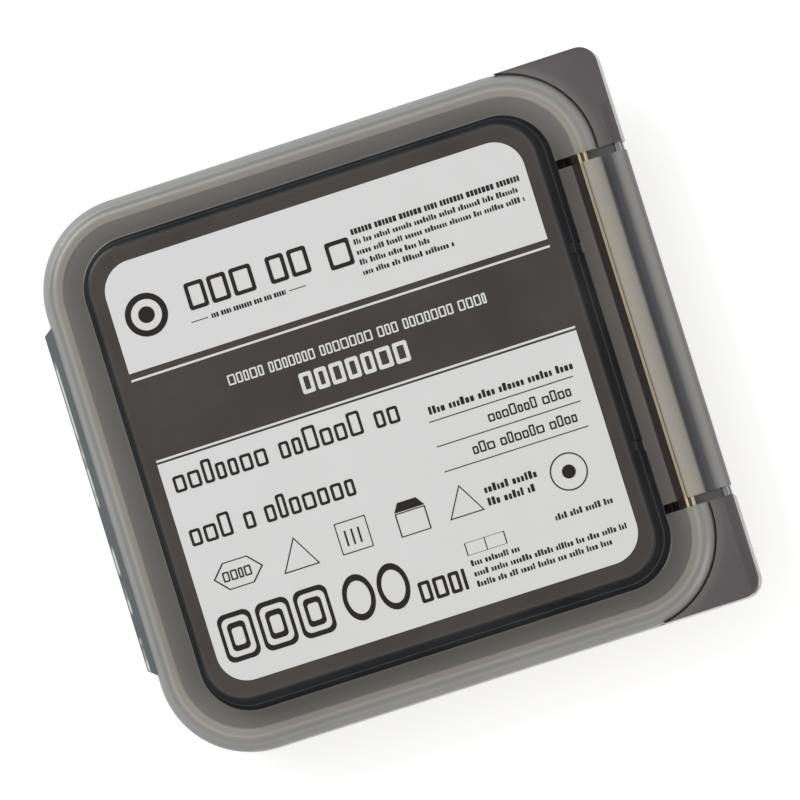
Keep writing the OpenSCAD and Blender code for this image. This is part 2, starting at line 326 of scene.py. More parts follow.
class Shader:
    """A material with short ways to add its nodes."""

    def __init__(self, name):
        self.material = bpy.data.materials.new(name)
        self.material.use_nodes = True
        self.nodes = self.material.node_tree.nodes
        self.links = self.material.node_tree.links
        self.bsdf = self.nodes["Principled BSDF"]

    def set(self, **values):
        """Sets sockets of the main shader by name, with underscores for spaces."""
        for key, value in values.items():
            self.bsdf.inputs[key.replace("_", " ")].default_value = value
        return self

    def node(self, kind, **settings):
        made = self.nodes.new(kind)
        for key, value in settings.items():
            setattr(made, key, value)
        return made

    def link(self, source, target):
        self.links.new(source, target)

    def place(self):
        """Object coordinates in metres."""
        found = [n for n in self.nodes if n.bl_idname == "ShaderNodeTexCoord"]
        return (found or [self.node("ShaderNodeTexCoord")])[0].outputs["Object"]

    def along(self, axis):
        """One object coordinate in millimetres."""
        split = self.node("ShaderNodeSeparateXYZ")
        self.link(self.place(), split.inputs[0])
        return self.math("MULTIPLY", split.outputs[axis], 1 / MM)

    def stretch(self, scale):
        """Object coordinates scaled by a factor for each axis."""
        mapping = self.node("ShaderNodeMapping")
        mapping.inputs["Scale"].default_value = scale
        self.link(self.place(), mapping.inputs["Vector"])
        return mapping.outputs["Vector"]

    def noise(self, scale, detail=3.0, roughness=0.5, vector=None):
        """Cloudy values from 0 to 1. scale counts the blotches in a metre."""
        made = self.node("ShaderNodeTexNoise")
        made.inputs["Scale"].default_value = scale
        made.inputs["Detail"].default_value = detail
        made.inputs["Roughness"].default_value = roughness
        self.link(vector or self.place(), made.inputs["Vector"])
        return made.outputs["Fac"]

    def cells(self, scale):
        """The distance to the nearest of many scattered points."""
        made = self.node("ShaderNodeTexVoronoi", feature="F1")
        made.inputs["Scale"].default_value = scale
        self.link(self.place(), made.inputs["Vector"])
        return made.outputs["Distance"]

    def math(self, operation, a, b=0.0):
        """Arithmetic on sockets or numbers."""
        made = self.node("ShaderNodeMath", operation=operation)
        for socket, value in zip(made.inputs, (a, b)):
            if isinstance(value, (int, float)):
                socket.default_value = value
            else:
                self.link(value, socket)
        return made.outputs[0]

    def ramp(self, factor, stops):
        """Turns a value into a colour. stops is a list of (place, colour)."""
        made = self.node("ShaderNodeValToRGB")
        elements = made.color_ramp.elements
        for i, (at, colour) in enumerate(stops):
            element = elements[i] if i < 2 else elements.new(at)
            element.position = at
            element.color = (*colour, 1)
        self.link(factor, made.inputs["Fac"])
        return made.outputs["Color"]

    def mix(self, factor, a, b):
        """Blends two colours or sockets."""
        made = self.node("ShaderNodeMix", data_type="RGBA")
        for socket, value in ((made.inputs["Factor"], factor), (made.inputs["A"], a), (made.inputs["B"], b)):
            if isinstance(value, (int, float)):
                socket.default_value = value
            elif isinstance(value, tuple):
                socket.default_value = (*value, 1)
            else:
                self.link(value, socket)
        return made.outputs["Result"]

    def bump(self, height, strength, distance_mm):
        """Adds relief on top of the relief that is there already."""
        made = self.node("ShaderNodeBump")
        made.inputs["Strength"].default_value = strength
        made.inputs["Distance"].default_value = distance_mm * MM
        self.link(height, made.inputs["Height"])
        if self.bsdf.inputs["Normal"].is_linked:
            self.link(self.bsdf.inputs["Normal"].links[0].from_socket, made.inputs["Normal"])
        self.link(made.outputs["Normal"], self.bsdf.inputs["Normal"])
        return self

    def colour(self, socket):
        """Makes the main colour follow a socket."""
        self.link(socket, self.bsdf.inputs["Base Color"])
        return self

    def roughness(self, factor, low, high):
        """Makes the roughness follow a value from 0 to 1."""
        made = self.node("ShaderNodeMapRange")
        made.inputs["To Min"].default_value = low
        made.inputs["To Max"].default_value = high
        self.link(factor, made.inputs["Value"])
        self.link(made.outputs["Result"], self.bsdf.inputs["Roughness"])
        return self

    def square_distance(self, half_mm, corner_mm, longer=LONGER):
        """How far a point lies outside a round-cornered square around the shell's centre, in millimetres."""
        over = []
        for axis, centre, extra in (("X", SHELL_X, longer), ("Y", 0.0, 0.0)):
            away = self.math("ABSOLUTE", self.math("SUBTRACT", self.along(axis), centre))
            over.append(self.math("SUBTRACT", away, half_mm + extra - corner_mm))
        outside = [self.math("MAXIMUM", o, 0.0) for o in over]
        squares = self.math("ADD", self.math("POWER", outside[0], 2.0), self.math("POWER", outside[1], 2.0))
        inside = self.math("MINIMUM", self.math("MAXIMUM", over[0], over[1]), 0.0)
        return self.math("SUBTRACT", self.math("ADD", self.math("SQRT", squares), inside), corner_mm)

    def inset(self, half_mm=HALF, corner_mm=CORNER_R, longer=LONGER):
        """How far a point lies inside a round-cornered square, by default the shells' outline."""
        return self.math("MULTIPLY", self.square_distance(half_mm, corner_mm, longer), -1.0)

    def banded(self, distance, tones):
        """Tones along a distance in millimetres. Each is (distance, colour)."""
        start, end = tones[0][0], tones[-1][0]
        share = self.math("DIVIDE", self.math("SUBTRACT", distance, start), end - start)
        return self.ramp(share, [((at - start) / (end - start), colour) for at, colour in tones])


def smoke_plastic(name, tint, clear, rough=(0.12, 0.24), gloss=0.40, glow=0.0):
    """Smoky translucent moulded plastic.

    tint makes its colour, clear is the share of light that goes through, and glow makes it give off its colour
    as painted glow.
    """
    s = Shader(name)
    clouds = s.noise(90, 4, 0.55)
    tone = tint(s)
    shown = s.mix(clouds, s.mix(0.12, tone, (0.0, 0.0, 0.0)), s.mix(0.04, tone, (1.0, 1.0, 1.0)))
    s.colour(shown)
    # Painted glow: the plastic gives off light though it is no lamp.
    if glow:
        s.link(shown, s.bsdf.inputs["Emission Color"])
        s.set(Emission_Strength=glow)
    s.roughness(s.noise(400, 3, 0.6), *rough)
    s.bump(s.noise(160, 2), 0.10, 0.01)
    s.bump(s.noise(45, 2), 0.15, 0.05)
    s.set(IOR=1.49, Specular_IOR_Level=gloss, Transmission_Weight=clear)
    return s.material


def ring_tint_painted_light_and_shade(s):
    """The ring's tone from its edge inwards, with light and shade painted in: painted shade along the outer
    edge, a painted highlight along both edges of the crest over the base's rim, and painted shade on the inner
    band beside the panel.
    """
    return s.banded(s.inset(), [
        (0.0, (0.20, 0.20, 0.20)),
        (0.25, (0.36, 0.36, 0.35)),
        (0.75, (0.46, 0.46, 0.44)),
        (1.10, (0.37, 0.37, 0.355)),
        (1.40, (0.42, 0.41, 0.385)),
        (1.62, (0.56, 0.525, 0.455)),
        (1.85, (0.45, 0.43, 0.385)),
        (2.20, (0.45, 0.425, 0.38)),
        (2.42, (0.55, 0.51, 0.44)),
        (2.62, (0.25, 0.24, 0.22)),
        (4.00, (0.21, 0.20, 0.18)),
    ])


def panel_tint_painted_shade_and_reflection(s):
    """The raised panel: painted shade makes its walls and the shoulder of its top nearly black, with a faint
    painted reflection line half way across the walls; the rest of its top is brown-black.
    """
    return s.banded(s.inset(PANEL_FOOT, PANEL_R, 0.0), [
        (-0.40, (0.21, 0.20, 0.18)),
        (-0.06, (0.20, 0.19, 0.17)),
        (0.04, (0.003, 0.004, 0.006)),
        (0.42, (0.003, 0.004, 0.006)),
        (0.48, (0.060, 0.064, 0.072)),
        (0.54, (0.003, 0.004, 0.006)),
        (1.20, (0.004, 0.005, 0.007)),
        (1.34, (0.058, 0.049, 0.043)),
        (1.80, (0.048, 0.038, 0.033)),
    ])


def tongue_tint_painted_light_and_shade(s):
    """The hinge tongue's tone across its bars, its grooves and the barrel, with light and shade painted in:
    painted shade in the grooves and on the barrel's sides, painted highlights on the bar's lip and across the
    barrel's top.
    """
    return s.banded(s.along("X"), [
        (FOOT_BACK - 0.02, (0.004, 0.005, 0.007)),
        (FOOT_BACK + 0.10, (0.20, 0.18, 0.16)),
        (RIDGE_END - 0.15, (0.17, 0.155, 0.14)),
        (RIDGE_END, (0.02, 0.02, 0.024)),
        (BAR_LIP_AT, (0.35, 0.32, 0.28)),
        (BAR_LIP_AT + 0.2, (0.58, 0.535, 0.46)),
        (BAR_START + 0.5, (0.50, 0.46, 0.40)),
        (BAR_END - 0.1, (0.33, 0.31, 0.28)),
        (BAR_END + 0.05, (0.075, 0.08, 0.095)),
        (HINGE_X - BARREL_R - 0.1, (0.11, 0.115, 0.13)),
        (HINGE_X - BARREL_R + 0.15, (0.34, 0.33, 0.31)),
        (HINGE_X + 0.3, (0.34, 0.33, 0.31)),
        (HINGE_X + BARREL_R, (0.14, 0.14, 0.15)),
    ])


def clear_web(name):
    """The thin clear web between the tongue's bars, which the base's rim shows through."""
    s = Shader(name)
    s.colour(s.mix(s.noise(300, 2), (0.05, 0.05, 0.055), (0.08, 0.08, 0.085)))
    s.roughness(s.noise(400, 2), 0.05, 0.12)
    s.set(IOR=1.49, Alpha=0.14)
    return s.material


def tab_tint_painted_glints(s):
    """The glassy thumb tab: dark, with a painted pale line near its outer edge, broken into painted glints
    where the edge would catch the light.
    """
    share = s.math("SUBTRACT", s.along("X"), LID_LOW.x)
    dark, pale = (0.135, 0.158, 0.163), (0.85, 0.87, 0.78)
    line = s.ramp(share, [(0.0, dark), (0.08, dark), (0.16, pale), (0.28, pale), (0.36, dark), (1.0, dark)])
    glints = s.ramp(s.noise(1.0, 2, 0.5, s.stretch((40, 260, 40))), [(0.42, (0, 0, 0)), (0.50, (1, 1, 1))])
    return s.mix(glints, dark, line)


def base_tint(s):
    """The base's tone: smoky brown, and in the ears darker away from the lid."""
    return s.banded(s.inset(), [
        (-4.5, (0.125, 0.108, 0.112)),
        (-1.2, (0.140, 0.122, 0.126)),
        (-0.1, (0.210, 0.190, 0.190)),
        (0.25, (0.160, 0.153, 0.146)),
        (2.50, (0.160, 0.153, 0.146)),
    ])


def ledge_tint(s):
    """The pale ledge under the hinge tongue, which shows at the slot's two ends."""
    return s.mix(s.noise(300, 2), (0.34, 0.38, 0.40), (0.46, 0.50, 0.52))


def rim_tint_painted_gleam(s):
    """The upright rim under the lid's crest: dark, with a painted gold highlight along both of its edges."""
    # gold is the painted highlight.
    gold, dark = (0.95, 0.76, 0.42), (0.03, 0.034, 0.038)
    from_outside = s.math("SUBTRACT", s.inset(), HALF - RIM_OUT)
    return s.ramp(s.math("DIVIDE", from_outside, RIM_OUT - RIM_IN), [
        (0.0, gold), (0.20, gold), (0.30, dark), (0.62, dark), (0.72, gold), (1.0, gold)])


def scaled(colour, factor, more=0.0):
    """A lighter or darker version of a colour."""
    return tuple(min(1, c * factor + more) for c in colour)


def printed_white(name):
    """White print with a faint tooth."""
    s = Shader(name)
    s.colour(s.mix(s.noise(260, 3), (0.695, 0.695, 0.690), (0.725, 0.725, 0.722)))
    s.roughness(s.noise(900, 2), 0.42, 0.55)
    s.bump(s.noise(1500, 2), 0.05, 0.01)
    return s.material


def printed_ink(name, colour):
    """Matt ink of one colour."""
    s = Shader(name)
    s.colour(s.mix(s.noise(500, 3), colour, scaled(colour, 1.35, 0.004)))
    s.roughness(s.noise(900, 2), 0.45, 0.6)
    s.set(Specular_IOR_Level=0.2)
    return s.material


def foam(name, colour):
    """Closed-cell foam with fine pits; its colour darkens into the pits as painted shade and is lighter on the
    rims between them.
    """
    s = Shader(name)
    cells = s.cells(2600)
    s.colour(s.mix(cells, scaled(colour, 0.55), scaled(colour, 1.6)))
    s.roughness(s.noise(600), 0.82, 0.95)
    s.bump(cells, 0.55, 0.12)
    s.bump(s.noise(300, 4), 0.4, 0.08)
    s.set(Specular_IOR_Level=0.25)
    return s.material


def black_moulding(name):
    """Black moulded plastic with a fine grain."""
    s = Shader(name)
    s.colour(s.mix(s.noise(130, 3), (0.012, 0.012, 0.013), (0.022, 0.022, 0.024)))
    s.roughness(s.noise(500, 3), 0.30, 0.48)
    s.bump(s.noise(2200, 2), 0.22, 0.02)
    s.bump(s.noise(70, 2), 0.15, 0.05)
    return s.material


def turned_metal(name, colour, ring_scale, rough):
    """Metal with fine lathe rings around its Y axis."""
    s = Shader(name)
    lines = s.noise(1.0, 2, 0.6, s.stretch((20, ring_scale, 20)))
    wear = s.noise(700, 4, 0.6)
    s.colour(s.mix(wear, scaled(colour, 0.82), scaled(colour, 1.08)))
    s.roughness(lines, *rough)
    s.bump(lines, 0.25, 0.01)
    s.set(Metallic=1.0)
    return s.material


def silicone(name, colour):
    """Coloured silicone rubber."""
    s = Shader(name)
    s.colour(s.mix(s.noise(350, 3), scaled(colour, 0.85), scaled(colour, 1.12)))
    s.roughness(s.noise(800, 2), 0.42, 0.6)
    s.bump(s.noise(1800, 2), 0.12, 0.02)
    s.set(Subsurface_Weight=0.15, Subsurface_Scale=0.6 * MM)
    return s.material


# ---------------------------------------------------------------- stage, camera, lights


def look_at(eye, target, up):
    """A placement at eye whose -Z axis points at the target."""
    back = (eye - target).normalized()
    right = up.cross(back).normalized()
    true_up = back.cross(right)
    rotation = Matrix((right, true_up, back)).transposed()
    return Matrix.Translation(eye) @ rotation.to_4x4()


def make_camera():
    """Looks down on the lid, tilted a little towards the hinge and the label's lower edge."""
    tilt_x, tilt_y, turn = math.radians(7.5), math.radians(4.8), math.radians(17.4)
    distance = 1.185
    view_width = 0.08565
    right_shift, up_shift = 0.00164, 0.00108
    sensor = 36
    away = Vector((math.tan(tilt_x), -math.tan(tilt_y), 1)).normalized()
    up = Vector((math.sin(turn), math.cos(turn), 0))
    right = Vector((math.cos(turn), -math.sin(turn), 0))
    target = Vector((0, 0, RING_TOP * MM)) + right * right_shift + up * up_shift
    data = bpy.data.cameras.new("camera")
    data.sensor_width = sensor
    data.lens = sensor * distance / view_width
    camera = bpy.data.objects.new("camera", data)
    camera.matrix_world = look_at(target + away * distance, target, up)
    bpy.context.scene.collection.objects.link(camera)
    bpy.context.scene.camera = camera


def area_light(name, place, size, watts, colour):
    """A square light that faces the part."""
    data = bpy.data.lights.new(name, "AREA")
    data.shape = "RECTANGLE"
    data.size = data.size_y = size
    data.energy = watts
    data.color = colour
    light = bpy.data.objects.new(name, data)
    light.matrix_world = look_at(Vector(place), Vector((0, 0, 0)), Vector((0, 1, 0.01)))
    bpy.context.scene.collection.objects.link(light)


def make_stage():
    """A pale floor, a white surround, a cool soft light from the left and a warm one from the right."""
    floor_half = 1500
    bm = bmesh.new()
    bmesh.ops.create_grid(bm, x_segments=2, y_segments=2, size=floor_half)
    floor = new_object("floor", bm)
    s = Shader("floor")
    s.colour(s.mix(s.noise(3, 2), (0.60, 0.60, 0.60), (0.62, 0.62, 0.62)))
    s.set(Roughness=0.6, Emission_Color=(1, 1, 1, 1), Emission_Strength=0.62)
    floor.data.materials.append(s.material)
    world = bpy.data.worlds.new("world")
    bpy.context.scene.world = world
    world.use_nodes = True
    world.node_tree.nodes["Background"].inputs["Color"].default_value = (1, 1, 1, 1)
    world.node_tree.nodes["Background"].inputs["Strength"].default_value = 0.58
    area_light("key", (-0.45, 0.55, 0.5), 0.6, 4.0, (0.95, 0.98, 1.0))
    area_light("fill", (0.6, -0.5, 0.4), 0.5, 1.9, (1.0, 0.94, 0.86))
    view = bpy.context.scene.view_settings
    view.view_transform = "Standard"
    view.look = "None"


# ---------------------------------------------------------------- the case


def finish_piece(obj, material, body, slot, *nodes):
    """Gives a piece its material, its body and the CAD nodes that it stands for. slot is not used."""
    flatten_shading(obj)
    obj.data.materials.append(material)
    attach(obj, body)
    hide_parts(*nodes)
    return obj


def make_lid():
    """The lid: a raised panel in a ring that covers the base's rim, with a slot for the hinge tongue."""
    bed = RING_TOP - 0.15
    lid = square_loft("lid", [
        (18.0, 2.0, PANEL_TOP, 0),
        (PANEL_HEAD, HEAD_R, PANEL_TOP, 0.40),
        (PANEL_FOOT, PANEL_R, bed, 0.30),
        (RIM_IN - 0.15, 7.5, bed, 0.12),
        (RIM_IN + 0.05, 7.7, RING_TOP, 0.12),
        (RIM_OUT - 0.05, 8.45, RING_TOP, 0.15),
        (RIM_OUT + 0.15, 8.65, RING_TOP - 0.12, 0.15),
        (HALF - 0.75, CORNER_R - 0.75, RING_TOP - 0.2, 0.7),
        (HALF, CORNER_R, RING_TOP - 1.0, 0.6),
        (HALF, CORNER_R, LID_BOTTOM, 0.18),
        (HALF - SKIRT, CORNER_R - SKIRT, LID_BOTTOM, 0.18),
        (HALF - SKIRT, CORNER_R - SKIRT, RING_UNDER, 0.3),
        (PANEL_FOOT - LID_WALL, PANEL_R - LID_WALL, RING_UNDER, 0.3),
        (PANEL_HEAD - LID_WALL, HEAD_R - LID_WALL, PANEL_TOP - LID_WALL, 0.5),
        (17.0, 2.0, PANEL_TOP - LID_WALL, 0),
    ])
    slot = block("slot", (FOOT_BACK, -SLOT_HALF, 0), (LID_BACK + 5, SLOT_HALF, RING_TOP + 1))
    combine(lid, [slot], "DIFFERENCE")
    bevelled(lid, 0.10, 2, 50)
    combine(lid, [tongue(), thumb_tab(), gusset(1), gusset(-1)], "UNION")
    # The ring's colour holds painted highlights and painted shade.
    finish_piece(lid, smoke_plastic("lid_smoke_painted_light_and_shade", ring_tint_painted_light_and_shade, 0.30), "lid", "case_smoke", "lid_shell")
    for material in (
        # The tongue's colour holds painted highlights and painted shade.
        smoke_plastic("tongue_smoke_painted_light_and_shade", tongue_tint_painted_light_and_shade, 0.20),
        clear_web("tongue_web"),
        # The tab's colour holds a painted highlight line broken into painted glints.
        smoke_plastic("tab_smoke_painted_glints", tab_tint_painted_glints, 0.10, (0.05, 0.12)),
        # The panel's materials carry painted shade and a painted reflection line; the wall's has no shine and
        # lets no light through, which keeps the walls black as painted shade.
        smoke_plastic("panel_smoke_painted_shade_and_reflection", panel_tint_painted_shade_and_reflection, 0.05, (0.14, 0.24), 0.25),
        smoke_plastic("panel_wall_painted_shade_and_reflection", panel_tint_painted_shade_and_reflection, 0.0, (0.20, 0.30), 0.0),
    ):
        lid.data.materials.append(material)
    for face in lid.data.polygons:
        face.material_index = lid_material(face)


def lid_material(face):
    """The lid's material for a face: 0 ring, 1 tongue, 2 clear web, 3 thumb tab, 4 panel, 5 panel wall."""
    middle = face.center / MM
    hair = 0.01
    if middle.x > FOOT_BACK + 0.02 and abs(middle.y) < TONGUE_HALF + hair:
        return 2 if RIDGE_END + hair < middle.x < BAR_LIP_AT - hair else 1
    if middle.x < LID_FRONT - 0.02:
        return 3
    if middle.z > RING_TOP - 0.1 and outside_by(middle, PANEL_FOOT, PANEL_R) < 0.2:
        return 5 if face.normal.z < 0.75 else 4
    return 0


def gusset(side):
    """A small web that braces the panel's hinge side."""
    foot_z, head_z = RING_TOP - 0.3, PANEL_TOP - 0.6
    inner = HEAD_BACK - 0.5
    outline = [(inner, foot_z), (FOOT_BACK + 0.1, foot_z), (FOOT_BACK + 0.1, RING_TOP),
               (HEAD_BACK + 0.4, head_z), (inner, head_z)]
    middle = side * GUSSET_Y + GUSSET_SHIFT
    made = extruded("gusset", outline, 1, middle - GUSSET_T / 2, middle + GUSSET_T / 2)
    return bevelled(made, 0.12, 2, 30)


def tongue():
    """The hinge tongue: a ridge and a bar with a clear web between them, a second web and the barrel."""
    root = FOOT_BACK - 0.45
    low_web = HINGE_Z - 0.1
    outline = soften([
        ((root, RING_UNDER), 0),
        ((root, RING_TOP), 0),
        ((RIDGE_END - 0.05, RING_TOP), 0.25),
        ((RIDGE_END, RING_UNDER + WEB_T), 0.12),
        ((BAR_LIP_AT, RING_UNDER + WEB_T), 0.12),
        ((BAR_LIP_AT + 0.05, RING_TOP), 0.5),
        ((BAR_END - 0.1, RING_TOP), 0.7),
        ((BAR_END, low_web + WEB_T), 0.2),
    ])[1:]
    outline = [(p[0], p[1]) for p in outline]
    start = math.pi - math.asin((WEB_T - 0.1) / BARREL_R)
    end = math.asin(0.1 / BARREL_R) - math.pi
    outline += arc(HINGE_X, HINGE_Z, BARREL_R, start, end - start, 22)
    outline += [(BAR_START, low_web), (BAR_START, RING_UNDER), (BAR_LIP_AT, RING_UNDER),
                (RIDGE_END, RING_UNDER), (root, RING_UNDER)]
    made = extruded("tongue", outline, 1, -TONGUE_HALF, TONGUE_HALF)
    return bevelled(made, 0.09, 2, 60)


def thumb_tab():
    """The tab on the lid's front: a lip before the base's flange, with a root that widens into the ring."""
    reach = LID_LOW.x
    back, root = LID_FRONT - 0.15, LID_FRONT + 0.7
    half, chamfer = 19.5, 0.6
    lower = extruded("tab", [(reach, -half + chamfer), (back, -half), (back, half), (reach, half - chamfer)],
                     2, EAR_BOTTOM, LID_BOTTOM + 0.4)
    upper = extruded("tab_root", [(reach, -half + chamfer), (root, -half - 0.5),
                                  (root, half + 0.5), (reach, half - chamfer)],
                     2, LID_BOTTOM, 9.1)
    combine(lower, [upper], "UNION")
    return bevelled(lower, 0.16, 3, 30)


def ear_outline(side, inner_from):
    """The base's corner area beside the hinge slot.

    It starts behind the lid's round corner, or at inner_from where it reaches under the lid.
    """
    arc_r = CORNER_R + EAR_GAP
    cx, cy = LID_BACK - CORNER_R, HALF - CORNER_R
    first = math.asin((SLOT_HALF - cy) / arc_r)
    last = math.asin((HALF - cy) / arc_r)
    if inner_from is None:
        points = arc(cx, cy, arc_r, first, last - first, 24)
    else:
        points = [(inner_from, SLOT_HALF), (inner_from, HALF)]
    far = BASE_HIGH.x
    points += arc(far - EAR_CORNER, HALF - EAR_CORNER, EAR_CORNER, math.pi / 2, -math.pi / 2, 8)
    points.append((far, SLOT_HALF))
    return [(x, side * y) for x, y in points]


def make_base():
    """The base: a tub with a foot, a flange under the lid, an upright rim and ears that hold the pin."""
    out_r, in_r = CORNER_R - 1.5, CORNER_R - 2.4
    side_wall, floor = 1.25, 1.5
    wall = RIM_OUT - side_wall
    recess = 0.35
    base = square_loft("base", [
        (20.0, 3.0, recess, 0),
        (27.6, 6.5, recess, 0.3),
        (28.0, 6.5, 0.0, 0.15),
        (RIM_OUT - 0.6, out_r - 0.6, 0.0, 0.35),
        (RIM_OUT - 0.45, out_r - 0.45, 0.8, 0.2),
        (RIM_OUT, out_r, 1.0, 0.25),
        (RIM_OUT, out_r, FLANGE_BOTTOM, 0.45),
        (HALF, CORNER_R, FLANGE_BOTTOM, 0.2),
        (HALF, CORNER_R, FLANGE_TOP, 0.15),
        (RIM_OUT, out_r, FLANGE_TOP, 0.2),
        (RIM_OUT, out_r, RIM_TOP, 0.15),
        (RIM_IN, in_r, RIM_TOP, 0.15),
        (RIM_IN, in_r, FLANGE_TOP, 0.3),
        (wall, out_r - side_wall, FLANGE_TOP - 0.3, 0.2),
        (wall, out_r - side_wall, floor, 0.7),
        (20.0, 3.0, floor, 0),
    ])
    adds = []
    inside, inside_r = RIM_OUT - 0.6, 7.6
    for side in (1, -1):
        ear = extruded("ear", ear_outline(side, None), 2, FLANGE_TOP - 0.3, EAR_TOP)
        foot = extruded("ear_foot", ear_outline(side, LID_BACK - CORNER_R - 3), 2, EAR_BOTTOM, FLANGE_TOP)
        low, high = EAR_BOTTOM - 1, FLANGE_TOP + 1
        cavity = square_loft("cavity", [
            (15, 2, low, 0), (inside, inside_r, low, 0), (inside, inside_r, high, 0), (15, 2, high, 0)])
        foot = combine(bevelled(foot, 0.2, 2, 40), [cavity], "DIFFERENCE")
        adds += [bevelled(ear, 0.15, 3, 40), foot]
    adds.append(block("ledge", (RIM_BACK - 0.2, -SLOT_HALF - 0.2, EAR_BOTTOM),
                      (BASE_HIGH.x - 0.3, SLOT_HALF + 0.2, LEDGE_TOP)))
    combine(base, adds, "UNION")
    cuts = [block("ledge_cut", (RIM_BACK, -SLOT_HALF, LEDGE_TOP), (BASE_HIGH.x + 2, SLOT_HALF, EAR_TOP + 2)),
            cylinder_y("pin_hole", PIN_BORE_R, HINGE_X, HINGE_Z, -HALF - 2, PIN_HIGH.y + 0.3)]
    combine(base, cuts, "DIFFERENCE")
    finish_piece(base, smoke_plastic("base_smoke", base_tint, 0.40), "base", "case_smoke", "base_shell")
    # The rim gives off its colour as painted glow, though it is no lamp, so its painted gold edges shine.
    base.data.materials.append(smoke_plastic("rim_smoke_painted_gleam", rim_tint_painted_gleam, 0.20, glow=0.25))
    base.data.materials.append(smoke_plastic("ledge_smoke", ledge_tint, 0.10))
    for face in base.data.polygons:
        middle = face.center / MM
        if middle.z > FLANGE_TOP + 0.6 and outside_by(middle, RIM_OUT, out_r, LONGER) < 0.02:
            face.material_index = 1
        elif middle.x > RIM_BACK and abs(middle.y) < SLOT_HALF + 0.01 and abs(middle.z - LEDGE_TOP) < 0.1:
            face.material_index = 2


def make_pin():
    """The steel hinge pin."""
    low, high = PIN_LOW.y, PIN_HIGH.y
    r = (PIN_HIGH.x - PIN_LOW.x) / 2
    profile = [(0.1, low, 0), (r, low, 0.12), (r, high, 0.12), (0.1, high, 0)]
    pin = turned("pin", profile, HINGE_X, HINGE_Z, 32)
    steel = turned_metal("pin_steel", (0.33, 0.34, 0.36), 900, (0.20, 0.34))
    finish_piece(pin, steel, "lid", "hinge_steel", "hinge_pin")


# ---------------------------------------------------------------- the label

# Heights of the panel's face, of the white print and of the dark print on it.
PANEL_FACE = LABEL_LOW.z
FILM_TOP = LABEL_LOW.z + 0.07
INK_TOP = LABEL_HIGH.z - 0.005

# The white fields and rules. Places on the label are measured from its lower left corner.
LABEL_W = LABEL_HIGH.x - LABEL_LOW.x
LABEL_L = LABEL_HIGH.y - LABEL_LOW.y
LABEL_R = 3.4
UPPER_FROM = 35.25
LOWER_TO = 25.05
RULES = (34.45, 25.40)
RULE_HALF = 0.12


def on_label(outline, z):
    """Puts an outline that is measured on the label into the case's frame."""
    return [(LABEL_LOW.x + u, LABEL_LOW.y + v, z) for u, v in outline]


def stamp(bm, outline, low, high):
    """A flat printed shape with a hair of thickness."""
    skin(bm, [on_label(outline, low), on_label(outline, high)])


def hollow_stamp(bm, outer, inner, low, high):
    """A flat closed line between two outlines with the same number of points."""
    loops = [on_label(outer, low), on_label(outer, high), on_label(inner, high), on_label(inner, low)]
    skin(bm, loops, closed=True)


def round_rect(u0, v0, u1, v1, radii, steps=6):
    """A rectangle's outline. radii go round the corners, from the lower left one anticlockwise."""
    points = []
    corners = ((u0, v0, 1, 1), (u1, v0, -1, 1), (u1, v1, -1, -1), (u0, v1, 1, -1))
    for quarter, ((u, v, su, sv), r) in enumerate(zip(corners, radii)):
        count = steps if r > 0 else 0
        for k in range(count + 1):
            angle = math.pi + (quarter + (k / count if count else 0)) * math.pi / 2
            points.append((u + su * r + r * math.cos(angle), v + sv * r + r * math.sin(angle)))
    return points


def regular(cx, cy, r, sides, turn=0.0, squash=1.0):
    """The outline of a regular polygon, squashed along v."""
    angles = [turn + 2 * math.pi * k / sides for k in range(sides)]
    return [(cx + r * math.cos(a), cy + squash * r * math.sin(a)) for a in angles]


def inner_copy(outline, share):
    """An outline shrunk about its middle."""
    cu = sum(u for u, _ in outline) / len(outline)
    cv = sum(v for _, v in outline) / len(outline)
    return [(cu + (u - cu) * share, cv + (v - cv) * share) for u, v in outline]


def blank_words(bm, u, v, width, height, low, high, stroke=0.0, capitals=False, letter=0.42):
    """A line of blank marks in the rhythm of text.

    With a stroke they are hollow boxes, without one plain bars. letter is a mark's usual width as a share of
    the line's height.
    """
    end = u + width
    outer_r, inner_r = (height * 0.1,) * 4, (height * 0.04,) * 4
    small, some_tall = 0.7, 0.3
    between = height * (0.13 if stroke else 0.18)
    left = random.randint(3, 8)
    while u < end - letter * height * 0.5:
        wide = height * letter * random.uniform(0.75, 1.2)
        tall = height if capitals or random.random() < some_tall else height * small
        right = min(u + wide, end)
        outer = round_rect(u, v, right, v + tall, outer_r, 3)
        if stroke and right - u > stroke * 2.4:
            inner = round_rect(u + stroke, v + stroke, right - stroke, v + tall - stroke, inner_r, 3)
            hollow_stamp(bm, outer, inner, low, high)
        elif stroke:
            stamp(bm, round_rect(u, v, u + stroke, v + tall, inner_r, 3), low, high)
            right = u + stroke
        else:
            stamp(bm, outer, low, high)
        u = right + between
        left -= 1
        if left == 0:
            u += height * 0.42
            left = random.randint(3, 8)


